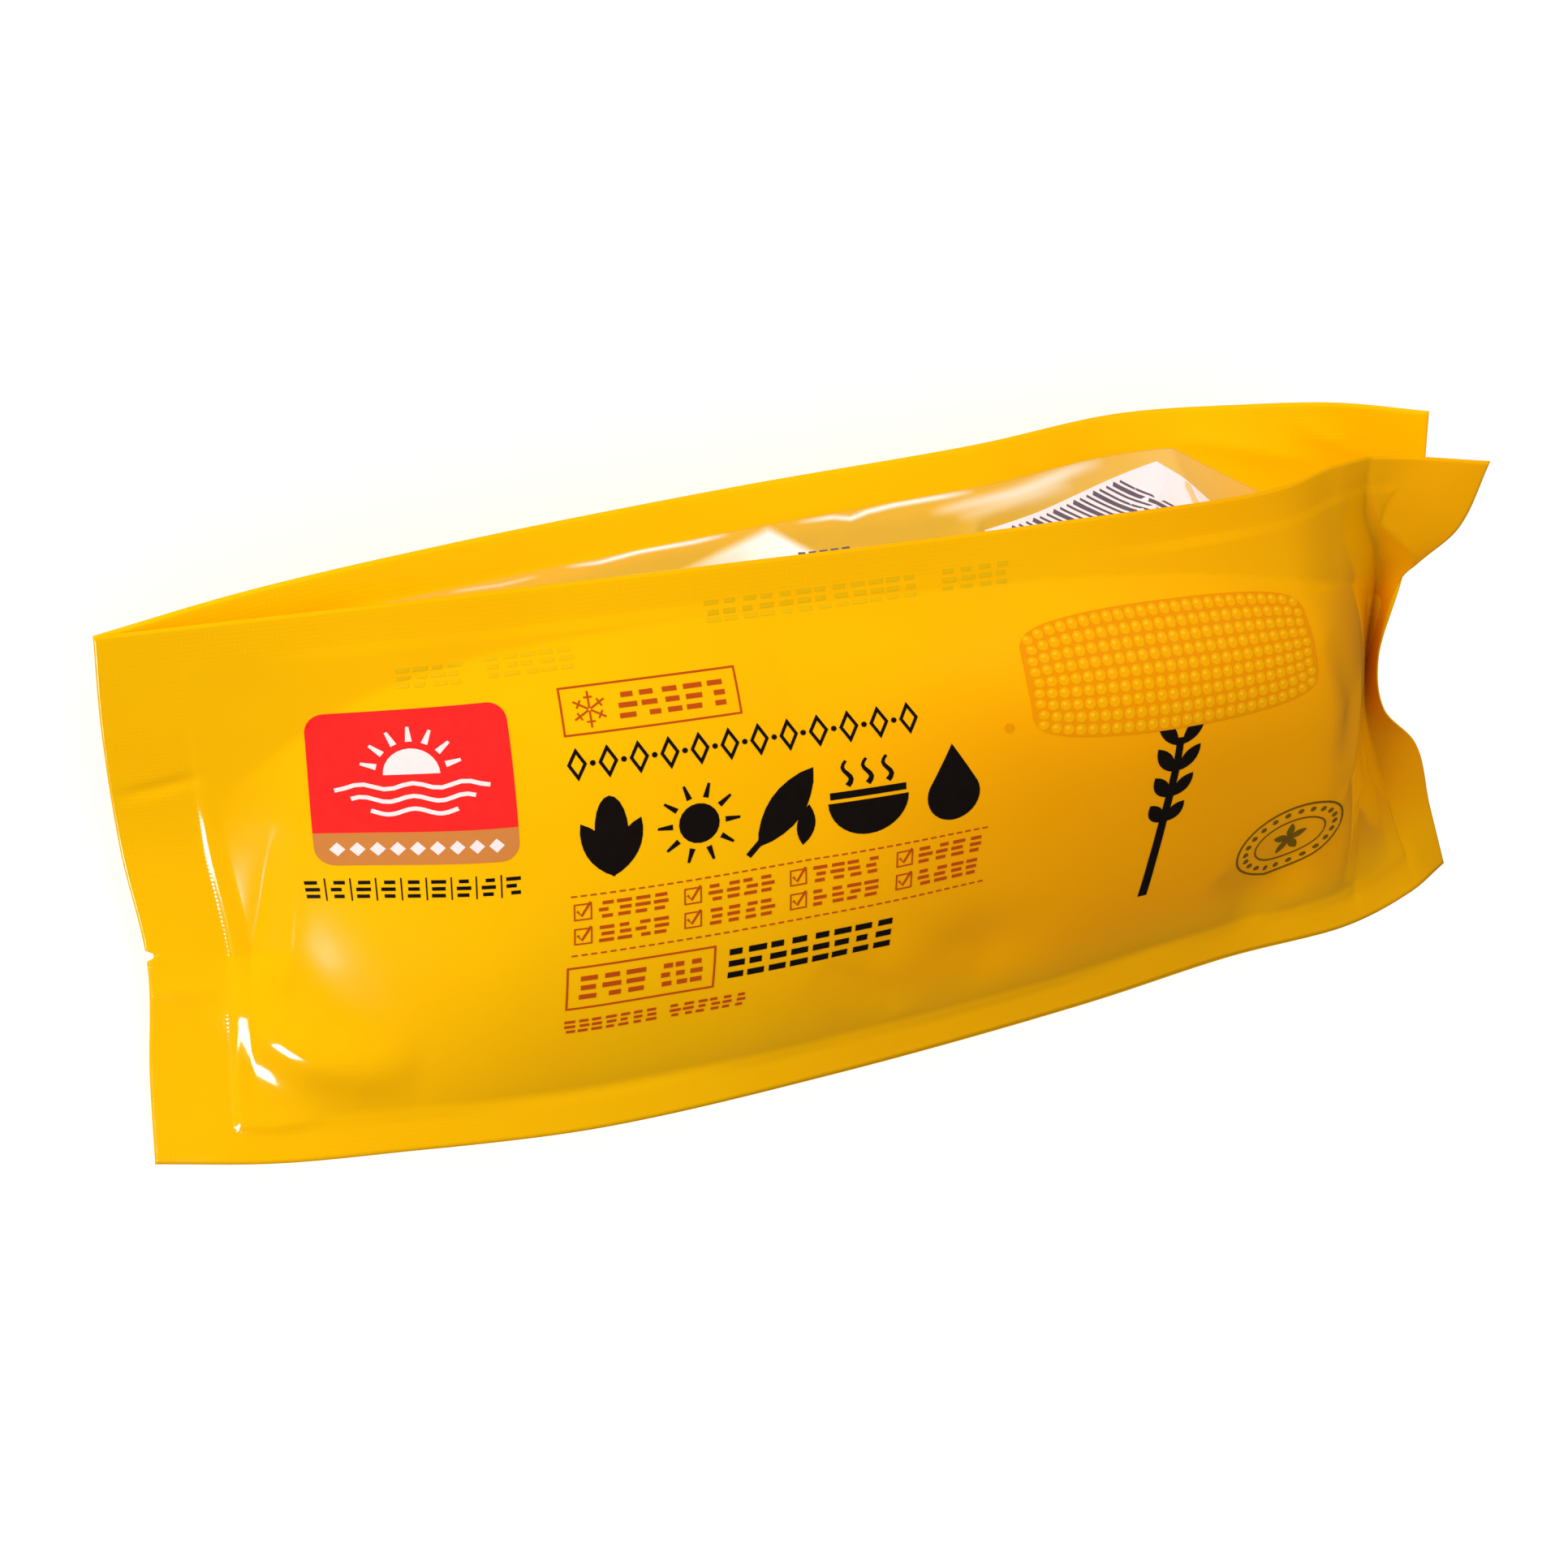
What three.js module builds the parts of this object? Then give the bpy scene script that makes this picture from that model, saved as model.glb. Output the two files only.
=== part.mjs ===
// Sealed food pouch holding one corn cob, lying on its back panel with the printed front panel up.
// Millimetres. X runs along the pouch, Y from the bottom seam to the gusset side, Z is up. The
// origin is under the middle of the pouch, on the surface it rests on.
//
// The pouch is one welded piece: a front and a back panel of yellow laminate, joined along the
// bottom seam and at both ends. A strip of clear film is folded in between their top lips, so
// the lips stand clear of each other and leave a trough with the clear film as its floor.

import * as THREE from 'three';

// Widths of the welded bands.
const LIP_BAND = 7.2;
const BOTTOM_BAND = 8.5;
const END_BAND = 18;

// Nominal length and height of a panel, for turning millimetres into shares of the panel.
const PANEL_LENGTH = 270;
const PANEL_HEIGHT = 104;

// Each panel is drawn this thick, and the two flaps at an end keep this slit between them.
const SKIN = 0.6;
const SLIT = 0.3;

// At the ends the clear film is welded to the panels along slanting lines, down to these depths.
// The right line slants less: it rises this much per millimetre.
const GUSSET_DEPTH = 30;
const GUSSET_DEPTH_RIGHT = 27.5;
const GUSSET_SLOPE_RIGHT = 0.57;
// How far the clear film sags below the straight line between its two welds.
const FILM_SAG = 10;
const SAG_POWER = 2;
// The sag is at most this share of the distance between the welds.
const MOST_SAG = 0.35;

// The clear film as a solid strip, between these shares of the pouch's length.
const FILM_THICKNESS = 1.0;
const FILM_GAP = 0.6;
const FILM_MARGIN = 3;
const FILM_START = 0.18;
const FILM_END = 0.88;

// How far the filled pouch swells from the flat panels.
const FRONT_BELLY = 13;
const BACK_BELLY = 30;
// How flat the belly is on top: along its left half, along its right half and up the panel.
const BELLY_POWER_LEFT = 3;
const BELLY_POWER_RIGHT = 5;
const BELLY_POWER_UP = 2.2;
// How much the belly's corners under the slanting welds are rounded off.
const BELLY_ROUNDING = 22;

// The shape of the left end holds over the first length and has faded out after the second.
const LEFT_HOLD = 14;
const LEFT_REACH = 64;
// The fold along the right weld lies this far from the end, and its shape fades out this far in.
const FOLD_AT = 13;
const FOLD_REACH = 48;
const FOLD_FADE_POWER = 1.5;

// Moves the seams so that the pouch is centred and its underside touches the ground.
const SHIFT = new THREE.Vector3(-132.5, -44.5, -7.5);

// Seams of the filled pouch, each through the few points where its course changes.
const BOTTOM_SEAM = seam([
  [-5, -3, 9], [15, -6, 17], [37, -8, 23], [71, -11, 30], [119, -12, 33],
  [172, -12, 32], [207, -11, 30], [236, -11, 30], [256, -9, 25], [270, -7, 18],
]);
const FRONT_LIP = seam([
  [0, 94, 34], [58, 91, 43], [119, 88, 51], [165, 86, 55], [209, 85, 59],
  [226, 87, 56], [240, 86, 55], [254, 83, 64],
]);
const BACK_LIP = seam([
  [0, 94, 34], [25, 97, 35.5], [61, 99, 35], [114, 100, 32], [163, 100, 31],
  [197, 101, 28], [221, 99, 34], [236, 97, 42], [251, 93, 51],
]);
const LEFT_END = seam([
  [-5, -3, 9], [-3, 14, 11], [0, 34, 14], [-1, 56, 18], [-1, 78, 27], [0, 94, 34],
]);
// The right end is pinched at half height; above the pinch the two lips part like ears.
const PINCHED_END = [
  [270, -7, 18], [266, 7, 20], [261, 22, 24], [253, 31, 25], [249, 43, 30], [250, 60, 39],
];
const FRONT_RIGHT_END = seam([...PINCHED_END, [254, 70, 53], [254, 83, 64]]);
const BACK_RIGHT_END = seam([...PINCHED_END, [252, 77, 45], [251, 93, 51]]);
// Between its two ends on the seams, the fold along the right weld dips through these points.
const RIGHT_FOLD = [[255, 6, 21], [253, 19, 20], [251, 31, 21], [250, 43, 24], [248.5, 57, 31]];
const FRONT_FOLD = rightFold(FRONT_LIP, [[244, 66, 40], [240.5, 76, 48]]);
const BACK_FOLD = rightFold(BACK_LIP, [[246, 77, 39]]);
const FRONT_SEAMS = { lip: FRONT_LIP, rightEnd: FRONT_RIGHT_END, fold: FRONT_FOLD };
const BACK_SEAMS = { lip: BACK_LIP, rightEnd: BACK_RIGHT_END, fold: BACK_FOLD };

// Hollows pressed into the front panel: place on the panel, half widths and depth.
const DENTS = [
  { x: 216, y: 20.8, halfX: 9, halfY: 10.4, depth: 3 },
  { x: 148, y: 22.9, halfX: 12, halfY: 7.3, depth: 1.6 },
];

// The cob lifts the upper right of the front panel by this much more: stretch along it, middle and
// half width up it, and height.
const SWELL = { from: 116, to: 262, y: 68, halfY: 24, height: 6 };

// Mesh density: steps along the pouch up to the fold and past it, down a panel, down a lip above
// its weld and over the film.
const STATIONS = 53;
const FOLD_STATIONS = 5;
const PANEL_STEPS = 20;
const LIP_STEPS = 4;
const TROUGH_STEPS = 8;
const FILM_STATIONS = 42;
const FILM_STEPS = 8;

function seam(points) {
  const lengthSteps = 400;
  const vectors = points.map(([x, y, z]) => new THREE.Vector3(x, y, z));
  const curve = new THREE.CatmullRomCurve3(vectors, false, 'centripetal');
  curve.arcLengthDivisions = lengthSteps;
  return (share) => curve.getPointAt(THREE.MathUtils.clamp(share, 0, 1));
}

// The fold along the inner edge of the right weld, from the bottom seam to a lip.
function rightFold(lip, top) {
  const at = 1 - FOLD_AT / PANEL_LENGTH;
  return seam([BOTTOM_SEAM(at).toArray(), ...RIGHT_FOLD, ...top, lip(at).toArray()]);
}

function smooth(t) {
  const s = THREE.MathUtils.clamp(t, 0, 1);
  return s * s * (3 - 2 * s);
}

// Rounded hill over 0..1 that is zero outside; a higher power gives a flatter top.
function hill(t, power) {
  if (t <= 0 || t >= 1) return 0;
  return 1 - Math.abs(2 * t - 1) ** power;
}

// How far below the lips the folded gusset reaches down at a place along the pouch.
function gussetDrop(along) {
  const fromLeft = Math.max(0, along * PANEL_LENGTH - END_BAND);
  const fromRight = Math.max(0, (1 - along) * PANEL_LENGTH - END_BAND);
  return Math.max(GUSSET_DEPTH - fromLeft, GUSSET_DEPTH_RIGHT - GUSSET_SLOPE_RIGHT * fromRight);
}

// Share of the panel height where the weld between panel and clear film ends.
function weldShare(along) {
  return 1 - Math.max(LIP_BAND, gussetDrop(along)) / PANEL_HEIGHT;
}

// Share of the panel height where its belly ends: the weld with its corners rounded off.
function bellyTop(along) {
  const over = gussetDrop(along) - LIP_BAND;
  const rounded = (over + Math.hypot(over, BELLY_ROUNDING)) / 2;
  return 1 - (LIP_BAND + rounded) / PANEL_HEIGHT;
}

// How much of the full belly there is at a place on the panel.
function bellyAt(along, share) {
  const endShare = END_BAND / PANEL_LENGTH;
  const bottomShare = BOTTOM_BAND / PANEL_HEIGHT;
  const acrossX = (along - endShare) / (1 - 2 * endShare);
  const acrossY = (share - bottomShare) / (bellyTop(along) - bottomShare);
  const power = acrossX < 0.5 ? BELLY_POWER_LEFT : BELLY_POWER_RIGHT;
  return hill(acrossX, power) * hill(acrossY, BELLY_POWER_UP);
}

function dentAt(along, share) {
  let depth = 0;
  for (const dent of DENTS) {
    const dx = (along * PANEL_LENGTH - dent.x) / dent.halfX;
    const dy = (share * PANEL_HEIGHT - dent.y) / dent.halfY;
    depth += dent.depth * Math.exp(-dx * dx - dy * dy);
  }
  return depth;
}

function swellAt(along, share) {
  const across = (share * PANEL_HEIGHT - SWELL.y) / SWELL.halfY;
  const stretch = (along * PANEL_LENGTH - SWELL.from) / (SWELL.to - SWELL.from);
  return SWELL.height * hill(stretch, 2) * Math.exp(-across * across);
}

// How much a place takes after the left end, the right end and the fold beside the right end.
function endHolds(along) {
  const fromLeft = along * PANEL_LENGTH;
  const fromRight = (1 - along) * PANEL_LENGTH;
  const toEnd = fromRight / FOLD_AT;
  const pastFold = THREE.MathUtils.clamp((fromRight - FOLD_AT) / (FOLD_REACH - FOLD_AT), 0, 1);
  return {
    left: 1 - smooth((fromLeft - LEFT_HOLD) / (LEFT_REACH - LEFT_HOLD)),
    right: Math.max(0, 1 - toEnd),
    fold: Math.min(toEnd, (1 - pastFold) ** FOLD_FADE_POWER),
  };
}

// A panel is ruled from the bottom seam to its lip; near an end it follows that end's seams.
function flatPanel({ lip, rightEnd, fold }, along, share) {
  const holds = endHolds(along);
  const point = BOTTOM_SEAM(along).lerp(lip(along), share);
  const ends = [
    { seam: LEFT_END, at: 0, hold: holds.left },
    { seam: rightEnd, at: 1, hold: holds.right },
    { seam: fold, at: 1 - FOLD_AT / PANEL_LENGTH, hold: holds.fold },
  ];
  for (const end of ends) {
    const straight = BOTTOM_SEAM(end.at).lerp(lip(end.at), share);
    point.addScaledVector(end.seam(share).sub(straight), end.hold);
  }
  return point.add(SHIFT);
}

// A point of the front panel: its inner face, or its outer face when off is the skin.
function frontPanel(along, share, off = 0) {
  const point = flatPanel(FRONT_SEAMS, along, share);
  const raised = FRONT_BELLY * bellyAt(along, share) + swellAt(along, share);
  point.z += raised - dentAt(along, share) + SLIT / 2 + off;
  return point;
}

// The same for the back panel, which lies flat where it meets the ground.
function backPanel(along, share, off = 0) {
  const point = flatPanel(BACK_SEAMS, along, share);
  point.z -= BACK_BELLY * bellyAt(along, share) + SLIT / 2 + off;
  point.z = Math.max(point.z, 0);
  return point;
}

// Where the clear film runs, from its weld on the back panel (0) to that on the front panel (1).
function clearFilm(along, across) {
  const weld = weldShare(along);
  const front = frontPanel(along, weld);
  const point = backPanel(along, weld);
  const width = point.distanceTo(front);
  point.lerp(front, across);
  point.y -= Math.min(FILM_SAG, MOST_SAG * width) * hill(across, SAG_POWER);
  return point;
}

// Shares of a panel's height from its lip down to the bottom seam, with a point on the weld.
function panelShares(along) {
  const weld = weldShare(along);
  const shares = [];
  for (let i = 0; i < LIP_STEPS; i += 1) {
    shares.push(1 - (1 - weld) * (i / LIP_STEPS));
  }
  for (let i = 0; i <= PANEL_STEPS; i += 1) {
    shares.push(weld * (1 - i / PANEL_STEPS));
  }
  return shares;
}

// One cross-section of the pouch as a closed loop: front panel down to the bottom seam, back
// panel up to its lip, the lip's inner face, the clear film and the front lip's inner face.
function crossSection(along) {
  const down = panelShares(along);
  const lipShares = down.slice(0, LIP_STEPS + 1);
  const front = down.map((share) => frontPanel(along, share, SKIN));
  const back = down.map((share) => backPanel(along, share, SKIN)).reverse();
  const backLip = lipShares.map((share) => backPanel(along, share));
  const frontLip = lipShares.map((share) => frontPanel(along, share)).reverse();
  const film = [];
  for (let i = 1; i < TROUGH_STEPS; i += 1) {
    film.push(clearFilm(along, i / TROUGH_STEPS));
  }
  return [...front, ...back, ...backLip, ...film, ...frontLip];
}

// Pairs of points that face each other across the end of a cross-section.
function endPairs() {
  const count = LIP_STEPS + PANEL_STEPS + 1;
  const backLip = 2 * count;
  const frontTip = backLip + 2 * LIP_STEPS + TROUGH_STEPS;
  const pairs = { body: [], frontLip: [], backLip: [] };
  for (let i = LIP_STEPS; i < count; i += 1) {
    pairs.body.push([i, 2 * count - 1 - i]);
  }
  for (let i = 0; i <= LIP_STEPS; i += 1) {
    pairs.frontLip.push([i, frontTip - i]);
    pairs.backLip.push([backLip + i, 2 * count - 1 - i]);
  }
  return pairs;
}

// The end face: a strip across each lip and the body, and a fan round the bottom of the slit.
function endFaces() {
  const { body, frontLip, backLip } = endPairs();
  const faces = [];
  for (const strip of [body.slice(1), frontLip, backLip]) {
    for (let i = 0; i < strip.length - 1; i += 1) {
      const [a, b] = strip[i];
      const [c, d] = strip[i + 1];
      faces.push([a, c, b], [b, c, d]);
    }
  }
  const [hub, firstOfRim] = body[1];
  const rim = [firstOfRim, body[0][1]];
  for (let i = backLip[LIP_STEPS][0]; i <= frontLip[LIP_STEPS][1]; i += 1) {
    rim.push(i);
  }
  rim.push(body[0][0]);
  for (let i = 0; i < rim.length - 1; i += 1) {
    faces.push([hub, rim[i], rim[i + 1]]);
  }
  return faces;
}

// Triangles across the loop of the film strip, top row against the row below it.
function stripFaces() {
  const size = 2 * (FILM_STEPS + 1);
  const faces = [];
  for (let i = 0; i < FILM_STEPS; i += 1) {
    faces.push([i, i + 1, size - 1 - i], [size - 1 - i, i + 1, size - 2 - i]);
  }
  return faces;
}

// Skins a row of equal loops and closes both ends with the given triangles.
function loft(loops, capFaces) {
  const size = loops[0].length;
  const last = (loops.length - 1) * size;
  const faces = [];
  for (let row = 0; row < last; row += size) {
    for (let i = 0; i < size; i += 1) {
      const a = row + i;
      const b = row + ((i + 1) % size);
      faces.push(a, b, b + size, a, b + size, a + size);
    }
  }
  for (const [i, j, k] of capFaces) {
    faces.push(i, k, j, last + i, last + j, last + k);
  }
  const positions = loops.flat().flatMap((point) => [point.x, point.y, point.z]);
  const geometry = new THREE.BufferGeometry();
  geometry.setAttribute('position', new THREE.Float32BufferAttribute(positions, 3));
  geometry.setIndex(faces);
  geometry.computeVertexNormals();
  return geometry;
}

function pouchGeometry() {
  const foldAt = 1 - FOLD_AT / PANEL_LENGTH;
  const loops = [];
  for (let i = 0; i < STATIONS; i += 1) {
    loops.push(crossSection(foldAt * (i / STATIONS)));
  }
  for (let i = 0; i <= FOLD_STATIONS; i += 1) {
    loops.push(crossSection(foldAt + (1 - foldAt) * (i / FOLD_STATIONS)));
  }
  return loft(loops, endFaces());
}

// The clear film as a thin strip on the trough's floor, clear of the laminate all round.
function filmGeometry() {
  const loops = [];
  for (let row = 0; row <= FILM_STATIONS; row += 1) {
    const along = FILM_START + ((FILM_END - FILM_START) * row) / FILM_STATIONS;
    const top = [];
    const underside = [];
    for (let i = 0; i <= FILM_STEPS; i += 1) {
      top.push(filmPoint(along, i / FILM_STEPS, FILM_GAP + FILM_THICKNESS));
      underside.unshift(filmPoint(along, i / FILM_STEPS, FILM_GAP));
    }
    loops.push([...top, ...underside]);
  }
  return loft(loops, stripFaces());
}

// A point standing off the trough's floor, square to the slope between the two lips. The strip
// stops short of both welds.
function filmPoint(along, share, height) {
  const slope = clearFilm(along, 1).sub(clearFilm(along, 0));
  const margin = FILM_MARGIN / slope.length();
  const off = new THREE.Vector3(0, slope.z, -slope.y).normalize();
  const across = margin + (1 - 2 * margin) * share;
  return clearFilm(along, across).addScaledVector(off, height);
}

function part(name, geometry, material) {
  const mesh = new THREE.Mesh(geometry, material);
  mesh.name = name;
  return mesh;
}

const yellowLaminate = new THREE.MeshStandardMaterial({ color: 0xf7ba00, roughness: 0.35 });
const hazyFilm = new THREE.MeshStandardMaterial({ color: 0xe8cfa0, roughness: 0.2 });

const cornPouch = new THREE.Group();
cornPouch.name = 'corn_pouch';
cornPouch.add(part('pouch', pouchGeometry(), yellowLaminate));
cornPouch.add(part('clear_film', filmGeometry(), hazyFilm));

export default cornPouch;
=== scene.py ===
import math

import bmesh
import bpy
import numpy as np
from mathutils import Matrix, Vector


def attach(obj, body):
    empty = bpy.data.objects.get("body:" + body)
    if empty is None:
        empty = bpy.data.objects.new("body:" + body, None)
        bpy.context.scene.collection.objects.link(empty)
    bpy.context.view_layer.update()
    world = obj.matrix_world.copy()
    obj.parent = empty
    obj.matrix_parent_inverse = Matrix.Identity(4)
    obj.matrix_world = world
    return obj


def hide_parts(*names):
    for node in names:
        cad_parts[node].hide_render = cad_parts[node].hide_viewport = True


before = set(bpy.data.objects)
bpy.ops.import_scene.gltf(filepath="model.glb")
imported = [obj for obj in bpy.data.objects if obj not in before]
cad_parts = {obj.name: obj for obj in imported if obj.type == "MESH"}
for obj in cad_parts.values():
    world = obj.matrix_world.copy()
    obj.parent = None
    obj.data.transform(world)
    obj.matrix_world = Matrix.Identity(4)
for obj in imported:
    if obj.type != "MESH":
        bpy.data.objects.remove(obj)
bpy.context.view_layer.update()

MM = 0.001

# The flat laminate and its welded bands, as in the CAD.
PANEL_LENGTH = 270
PANEL_HEIGHT = 104
LIP_BAND = 7.2
BOTTOM_BAND = 8.5
END_BAND = 18
GUSSET_DEPTH = 30
GUSSET_DEPTH_RIGHT = 27.5
GUSSET_SLOPE_RIGHT = 0.57
FRONT_BELLY = 13
BACK_BELLY = 30
LEFT_FADE = (14, 64)
FOLD_AT = 13
FOLD_REACH = 48
FOLD_FADE_POWER = 1.5
# How flat the belly's top is towards the left end, towards the right end, and up the panel.
BELLY_POWERS = (3, 5)
BELLY_POWER_UP = 2.2
BELLY_ROUNDING = 22
# The film sags by this much, or by this share of its width where that is less.
FILM_SAG = 10
MOST_SAG = 0.35
# Puts the origin on the resting surface, under the middle of the pouch.
SHIFT = np.array([-132.5, -44.5, -7.5])

# The seams of the filled pouch, as in the CAD.
BOTTOM_SEAM = [
    (-5, -3, 9), (15, -6, 17), (37, -8, 23), (71, -11, 30), (119, -12, 33),
    (172, -12, 32), (207, -11, 30), (236, -11, 30), (256, -9, 25), (270, -7, 18),
]
FRONT_LIP = [
    (0, 94, 34), (58, 91, 43), (119, 88, 51), (165, 86, 55), (209, 85, 59),
    (226, 87, 56), (240, 86, 55), (254, 83, 64),
]
BACK_LIP = [
    (0, 94, 34), (25, 97, 35.5), (61, 99, 35), (114, 100, 32), (163, 100, 31),
    (197, 101, 28), (221, 99, 34), (236, 97, 42), (251, 93, 51),
]
LEFT_END = [(-5, -3, 9), (-3, 14, 11), (0, 34, 14), (-1, 56, 18), (-1, 78, 27), (0, 94, 34)]
PINCHED_END = [
    (270, -7, 18), (266, 7, 20), (261, 22, 24), (253, 31, 25), (249, 43, 30), (250, 60, 39),
]
FRONT_RIGHT_END = PINCHED_END + [(254, 70, 53), (254, 83, 64)]
BACK_RIGHT_END = PINCHED_END + [(252, 77, 45), (251, 93, 51)]

# Between its two ends on the seams, the fold along the right weld dips through these points.
RIGHT_FOLD = [(255, 6, 21), (253, 19, 20), (251, 31, 21), (250, 43, 24), (248.5, 57, 31)]
FRONT_FOLD_TOP = [(244, 66, 40), (240.5, 76, 48)]
BACK_FOLD_TOP = [(246, 77, 39)]

# Hollows in the front panel: place (x, y), half widths and depth.
DENTS = [(216, 20.8, 9, 10.4, 3), (148, 22.9, 12, 7.3, 1.6)]
# The cob lifts the upper right of the front panel by this much more: stretch along it, middle and
# half width up it, and height.
SWELL = {"from": 116, "to": 262, "y": 68, "half_y": 24, "height": 6}

LAMINATE = 0.3

# The print is a slab with its foot just under the laminate's face. A layer of ink is a step higher
# than the one below it, and the slab is cut along a grid to follow the panel.
PRINT_FOOT = -0.05
PRINT_TOP = 0.09
INK_STEP = 0.04
PRINT_GRID = 2.5

# Widths of the bands with the embossed grid, how deep they are pressed in on the front, and the width
# of the ramp beside them.
LEFT_SEAL = 14.5
RIGHT_SEAL = 13
BOTTOM_SEAL = 7
LIP_SEAL = 7.5
SEAL_PRESS = 0.25
SEAL_RAMP = 1.2

# A panel's normal is read from places this far to each side.
NORMAL_STEP = 0.2

# Mesh density of a panel: (from, to, step) stretches along it and up it.
FRONT_COLUMNS = [(0, 42, 0.55), (42, 222, 1.05), (222, 270, 0.55)]
FRONT_ROWS = [(0, 38.8, 0.9), (38.8, 42.2, 0.34), (42.2, 104, 0.9)]
BACK_COLUMNS = [(0, 270, 1.1)]
BACK_ROWS = [(0, 104, 1.0)]

# Tear notch in the left end: height on the panel, half height, depth and reach.
NOTCH = {"y": 40.5, "half": 1.1, "depth": 2.3, "reach": 6}


def spread(stretches):
    """Places along the given stretches, each (from, to, step)."""
    places = [stretches[0][0]]
    for start, end, step in stretches:
        count = math.ceil((end - start) / step)
        places.extend(np.linspace(start, end, count + 1)[1:])
    return np.array(places, float)


# --- the shape of the filled pouch, repeated from the CAD ---


def seam(points, samples=200):
    """Centripetal Catmull-Rom curve through the points, read by its share of length."""
    points = np.array(points, float)
    before, after = 2 * points[0] - points[1], 2 * points[-1] - points[-2]
    knots = np.vstack([before, points, after])
    pieces = []
    for p0, p1, p2, p3 in zip(knots, knots[1:], knots[2:], knots[3:]):
        d0, d1, d2 = (math.sqrt(np.linalg.norm(b - a)) for a, b in ((p0, p1), (p1, p2), (p2, p3)))
        t1 = ((p1 - p0) / d0 - (p2 - p0) / (d0 + d1) + (p2 - p1) / d1) * d1
        t2 = ((p2 - p1) / d1 - (p3 - p1) / (d1 + d2) + (p3 - p2) / d2) * d1
        t = np.linspace(0, 1, samples, endpoint=False)[:, None]
        pieces.append((2 * t**3 - 3 * t**2 + 1) * p1 + (t**3 - 2 * t**2 + t) * t1
                      + (3 * t**2 - 2 * t**3) * p2 + (t**3 - t**2) * t2)
    curve = np.vstack(pieces + [points[-1:]])
    length = np.concatenate([[0], np.cumsum(np.linalg.norm(np.diff(curve, axis=0), axis=1))])
    length /= length[-1]
    return lambda share: np.stack([np.interp(share, length, axis) for axis in curve.T], -1)


bottom_seam = seam(BOTTOM_SEAM)
left_end = seam(LEFT_END)
front_lip = seam(FRONT_LIP)
front_right_end = seam(FRONT_RIGHT_END)
back_lip = seam(BACK_LIP)
back_right_end = seam(BACK_RIGHT_END)


def right_fold(lip, top):
    """The fold along the inner edge of the right weld, from the bottom seam to a lip."""
    at = 1 - FOLD_AT / PANEL_LENGTH
    return seam([bottom_seam(at), *RIGHT_FOLD, *top, lip(at)])


front_fold = right_fold(front_lip, FRONT_FOLD_TOP)
back_fold = right_fold(back_lip, BACK_FOLD_TOP)


def smooth(t):
    """Smooth step from 0 to 1 while t goes from 0 to 1."""
    s = np.clip(t, 0, 1)
    return s * s * (3 - 2 * s)


def ramp(value, start, end):
    """Smooth step from 0 to 1 while the value goes from start to end."""
    return smooth((value - start) / (end - start))


def hill(t, power=2):
    """Rounded hill over 0..1 that is zero outside; a higher power gives a flatter top."""
    return np.where((t <= 0) | (t >= 1), 0, 1 - np.abs(2 * np.clip(t, 0, 1) - 1) ** power)


def gusset_drop(x):
    """How far below the lips the folded gusset reaches down at an end."""
    left = GUSSET_DEPTH - np.maximum(0, x - END_BAND)
    right = GUSSET_DEPTH_RIGHT - GUSSET_SLOPE_RIGHT * np.maximum(0, PANEL_LENGTH - END_BAND - x)
    return np.maximum(left, right)


def weld_y(x):
    """Height on the panel where the weld between panel and clear film ends."""
    return PANEL_HEIGHT - np.maximum(LIP_BAND, gusset_drop(x))


def belly_top(x):
    """Height on the panel where its belly ends: the weld with its corners rounded off."""
    over = gusset_drop(x) - LIP_BAND
    return PANEL_HEIGHT - LIP_BAND - (over + np.hypot(over, BELLY_ROUNDING)) / 2


def belly_at(x, y):
    """How far the belly bulges at a place, from 0 to 1."""
    across_x = (x - END_BAND) / (PANEL_LENGTH - 2 * END_BAND)
    across_y = (y - BOTTOM_BAND) / (belly_top(x) - BOTTOM_BAND)
    return hill(across_x, np.where(across_x < 0.5, *BELLY_POWERS)) * hill(across_y, BELLY_POWER_UP)


def dent_at(x, y):
    return sum(depth * np.exp(-((x - cx) / half_x) ** 2 - ((y - cy) / half_y) ** 2)
               for cx, cy, half_x, half_y, depth in DENTS)


def swell_at(x, y):
    across = ((y - SWELL["y"]) / SWELL["half_y"]) ** 2
    along = (x - SWELL["from"]) / (SWELL["to"] - SWELL["from"])
    return SWELL["height"] * hill(along) * np.exp(-across)


def flat_panel(lip, right_end, fold, x, y):
    """A panel is ruled from the bottom seam to its lip; near an end it follows that end's seams."""
    along, share = x / PANEL_LENGTH, (y / PANEL_HEIGHT)[..., None]
    low = bottom_seam(along)
    point = low + (lip(along) - low) * share
    left_hold = 1 - ramp(x, *LEFT_FADE)
    to_end = (PANEL_LENGTH - x) / FOLD_AT
    past_fold = (PANEL_LENGTH - x - FOLD_AT) / (FOLD_REACH - FOLD_AT)
    fold_hold = np.minimum(to_end, np.clip(1 - past_fold, 0, 1) ** FOLD_FADE_POWER)
    ends = (
        (left_end, 0, left_hold),
        (right_end, 1, np.maximum(0, 1 - to_end)),
        (fold, 1 - FOLD_AT / PANEL_LENGTH, fold_hold),
    )
    for end, at, hold in ends:
        straight = bottom_seam(at) + (lip(at) - bottom_seam(at)) * share
        point = point + (end(share[..., 0]) - straight) * hold[..., None]
    return point + SHIFT


def front_base(x, y):
    point = flat_panel(front_lip, front_right_end, front_fold, x, y)
    point[..., 2] += FRONT_BELLY * belly_at(x, y) + swell_at(x, y) - dent_at(x, y)
    return point


def back_base(x, y):
    point = flat_panel(back_lip, back_right_end, back_fold, x, y)
    point[..., 2] -= BACK_BELLY * belly_at(x, y)
    return point


# --- folds and creases ---

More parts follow.
